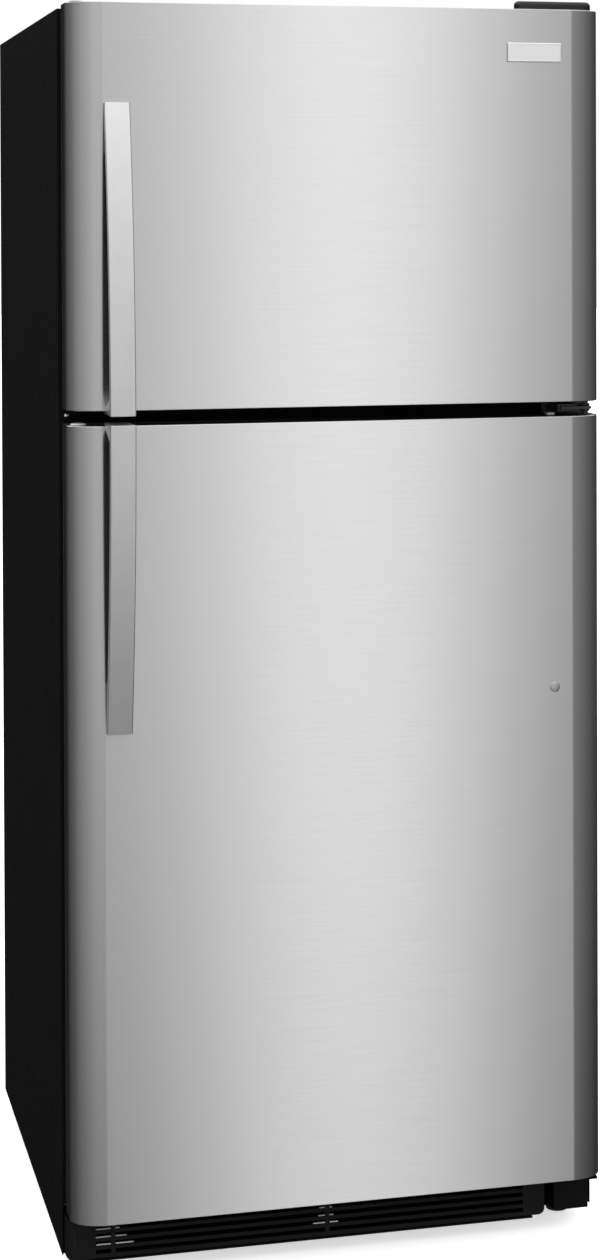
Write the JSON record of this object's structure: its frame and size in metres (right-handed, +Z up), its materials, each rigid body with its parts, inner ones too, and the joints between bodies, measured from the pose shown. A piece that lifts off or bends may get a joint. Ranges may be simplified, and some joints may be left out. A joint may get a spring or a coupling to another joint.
{
  "type": "top freezer refrigerator",
  "caption": "Upright refrigerator with a freezer compartment on top, brushed steel doors with bowed handles, black cabinet, shelves, bins and drawers inside.",
  "frame": {"origin": "on the floor under the middle of the whole refrigerator's box, between the handles' front and the rear cover", "axes": "+X to the right as seen from the front, +Y to the back, +Z up; the doors face -Y"},
  "size_m": [0.768, 0.84, 1.7585],
  "materials": {
    "stainless_skin": "fine horizontal brushed grain, satin",
    "satin_handle": "satin metallic paint",
    "black_paint": "fine textured black",
    "black_plastic": "moulded, satin",
    "gloss_black": "glossy",
    "galvanised": "bare zinc coated sheet",
    "white_liner": "vacuum formed, semi-gloss",
    "clear_plastic": "clear moulding",
    "shelf_glass": "clear glass pane in a moulded rim",
    "foam": "foamed in place insulation",
    "gasket": "soft magnetic seal",
    "aluminium": "bare fins",
    "copper": "copper tube",
    "grey_plastic": "moulded, satin",
    "badge_plate": "satin silver plate, blank",
    "bulb": "frosted lamp"
  },
  "bodies": {
    "cabinet": {"cabinet_wrapper": "black_paint", "foam_insulation": "foam", "freezer_liner": "white_liner", "fridge_liner": "white_liner", "mullion_rail": "black_paint", "rear_panel": "galvanised", "top_hinge": "galvanised", "top_hinge_cover": "gloss_black", "center_hinge": "black_paint", "lower_hinge": "black_paint", "base_pan": "black_paint", "toe_grille": "black_plastic", "upper_shelf": "shelf_glass", "middle_shelf": "shelf_glass", "crisper_cover": "shelf_glass", "freezer_shelf": "shelf_glass", "control_housing": "white_liner", "light_bulb": "bulb", "evaporator_cover": "white_liner", "evaporator_coil": "aluminium", "compressor": "black_paint", "condenser_coil": "copper", "drain_pan": "black_plastic", "machine_cover": "black_plastic"},
    "freezer_door": {"freezer_door_skin": "stainless_skin", "freezer_door_frame": "black_paint", "freezer_door_top_cap": "black_plastic", "freezer_door_bottom_cap": "black_plastic", "freezer_door_foam": "foam", "freezer_door_liner": "white_liner", "freezer_door_gasket": "gasket", "freezer_handle": "satin_handle", "badge": "badge_plate", "freezer_lower_bin": "clear_plastic", "freezer_upper_bin": "clear_plastic"},
    "fridge_door": {"fridge_door_skin": "stainless_skin", "fridge_door_frame": "black_paint", "fridge_door_top_cap": "black_plastic", "fridge_door_bottom_cap": "black_plastic", "fridge_door_foam": "foam", "fridge_door_liner": "white_liner", "fridge_door_gasket": "gasket", "fridge_handle": "satin_handle", "fridge_lower_bin": "clear_plastic", "fridge_middle_bin": "clear_plastic", "dairy_bin": "clear_plastic"},
    "dairy_flap": {"dairy_flap": "clear_plastic"},
    "left_crisper": {"left_crisper": "clear_plastic"},
    "right_crisper": {"right_crisper": "clear_plastic"},
    "left_humidity_slide": {"left_humidity_slide": "grey_plastic"},
    "right_humidity_slide": {"right_humidity_slide": "grey_plastic"},
    "freezer_knob": {"freezer_knob": "grey_plastic"},
    "fridge_knob": {"fridge_knob": "grey_plastic"},
    "light_switch_plunger": {"light_switch_plunger": "white_liner"},
    "left_leveling_leg": {"left_leveling_leg": "black_plastic"},
    "right_leveling_leg": {"right_leveling_leg": "black_plastic"},
    "left_rear_roller": {"left_rear_roller": "black_plastic"},
    "right_rear_roller": {"right_rear_roller": "black_plastic"},
    "evaporator_fan": {"evaporator_fan": "grey_plastic"},
    "condenser_fan": {"condenser_fan": "black_plastic"}
  },
  "joints": [
    {"name": "freezer_door_hinge", "type": "hinge", "parent": "cabinet", "child": "freezer_door", "pos_m": [0.363, -0.337, 1.192], "axis": [0, 0, 1], "range_deg": [0, 130]},
    {"name": "fridge_door_hinge", "type": "hinge", "parent": "cabinet", "child": "fridge_door", "pos_m": [0.363, -0.337, 0.087], "axis": [0, 0, 1], "range_deg": [0, 130]},
    {"name": "left_crisper_slide", "type": "slide", "parent": "cabinet", "child": "left_crisper", "axis": [0, -1, 0], "range_m": [0, 0.221]},
    {"name": "right_crisper_slide", "type": "slide", "parent": "cabinet", "child": "right_crisper", "axis": [0, -1, 0], "range_m": [0, 0.221]},
    {"name": "light_switch", "type": "slide", "parent": "cabinet", "child": "light_switch_plunger", "axis": [0, -1, 0], "range_m": [0, 0.008]},
    {"name": "dairy_flap_hinge", "type": "hinge", "parent": "fridge_door", "child": "dairy_flap", "pos_m": [0, -0.2035, 1.087], "axis": [1, 0, 0], "range_deg": [0, 66]},
    {"name": "left_humidity", "type": "slide", "parent": "cabinet", "child": "left_humidity_slide", "axis": [1, 0, 0], "range_m": [0, 0.03]},
    {"name": "right_humidity", "type": "slide", "parent": "cabinet", "child": "right_humidity_slide", "axis": [1, 0, 0], "range_m": [0, 0.03]},
    {"name": "freezer_control", "type": "hinge", "parent": "cabinet", "child": "freezer_knob", "pos_m": [-0.08, -0.15, 1.124], "axis": [0, -1, 0], "range_deg": [-120, 120]},
    {"name": "fridge_control", "type": "hinge", "parent": "cabinet", "child": "fridge_knob", "pos_m": [0.08, -0.15, 1.124], "axis": [0, -1, 0], "range_deg": [-120, 120]},
    {"name": "left_leg_screw", "type": "hinge", "parent": "cabinet", "child": "left_leveling_leg", "pos_m": [-0.35, -0.242, 0], "axis": [0, 0, 1], "range_deg": [0, 720]},
    {"name": "right_leg_screw", "type": "hinge", "parent": "cabinet", "child": "right_leveling_leg", "pos_m": [0.35, -0.242, 0], "axis": [0, 0, 1], "range_deg": [0, 720]},
    {"name": "left_roller_axle", "type": "hinge", "parent": "cabinet", "child": "left_rear_roller", "pos_m": [-0.335, 0.33, 0.019], "axis": [1, 0, 0], "continuous": true},
    {"name": "right_roller_axle", "type": "hinge", "parent": "cabinet", "child": "right_rear_roller", "pos_m": [0.335, 0.33, 0.019], "axis": [1, 0, 0], "continuous": true},
    {"name": "evaporator_fan_shaft", "type": "hinge", "parent": "cabinet", "child": "evaporator_fan", "pos_m": [0, 0.276, 1.6], "axis": [0, 1, 0], "continuous": true},
    {"name": "condenser_fan_shaft", "type": "hinge", "parent": "cabinet", "child": "condenser_fan", "pos_m": [-0.008, 0.305, 0.13], "axis": [1, 0, 0], "continuous": true}
  ],
  "couplings": [
    {"joint": "left_crisper_slide", "follows": "fridge_door_hinge", "m_per_rad": 0.097},
    {"joint": "right_crisper_slide", "follows": "fridge_door_hinge", "m_per_rad": 0.097},
    {"joint": "light_switch", "follows": "fridge_door_hinge", "m_per_rad": 0.0035},
    {"joint": "dairy_flap_hinge", "follows": "fridge_door_hinge", "ratio": 0.5}
  ]
}
